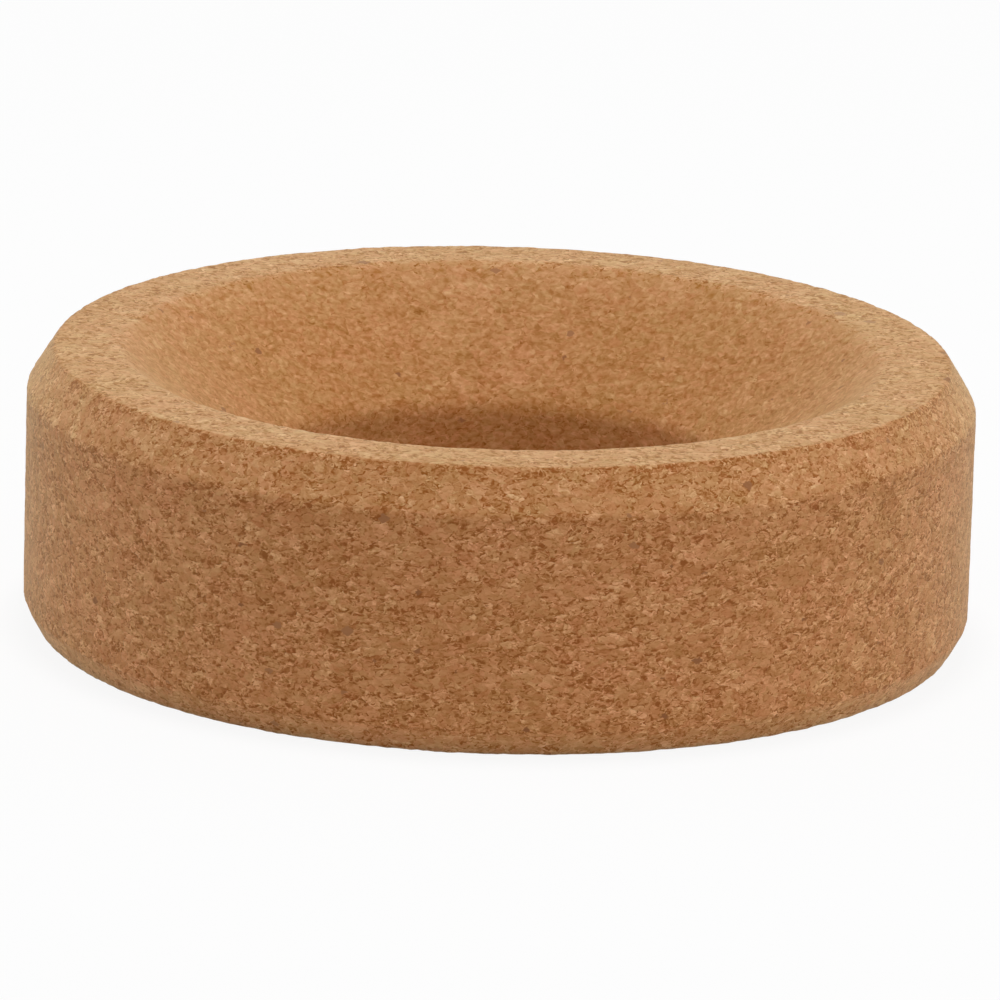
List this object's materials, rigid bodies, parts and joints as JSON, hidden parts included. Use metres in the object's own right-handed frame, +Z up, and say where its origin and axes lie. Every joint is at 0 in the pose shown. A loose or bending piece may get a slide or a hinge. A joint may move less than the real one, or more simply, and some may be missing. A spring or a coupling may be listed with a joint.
{
  "type": "cork ring",
  "caption": "Thick ring of pressed cork with a conical seat and a straight bore, which holds a round-bottomed flask upright on a bench.",
  "frame": {"origin": "centre of the base, on the axis of the ring", "axes": "+Z up along the ring's axis, out of the seat; X and Y lie in the base plane"},
  "size_m": [0.11, 0.11, 0.033],
  "materials": {
    "cork": "matte pressed cork granules"
  },
  "bodies": {
    "root": {"cork_ring": "cork"}
  },
  "joints": []
}
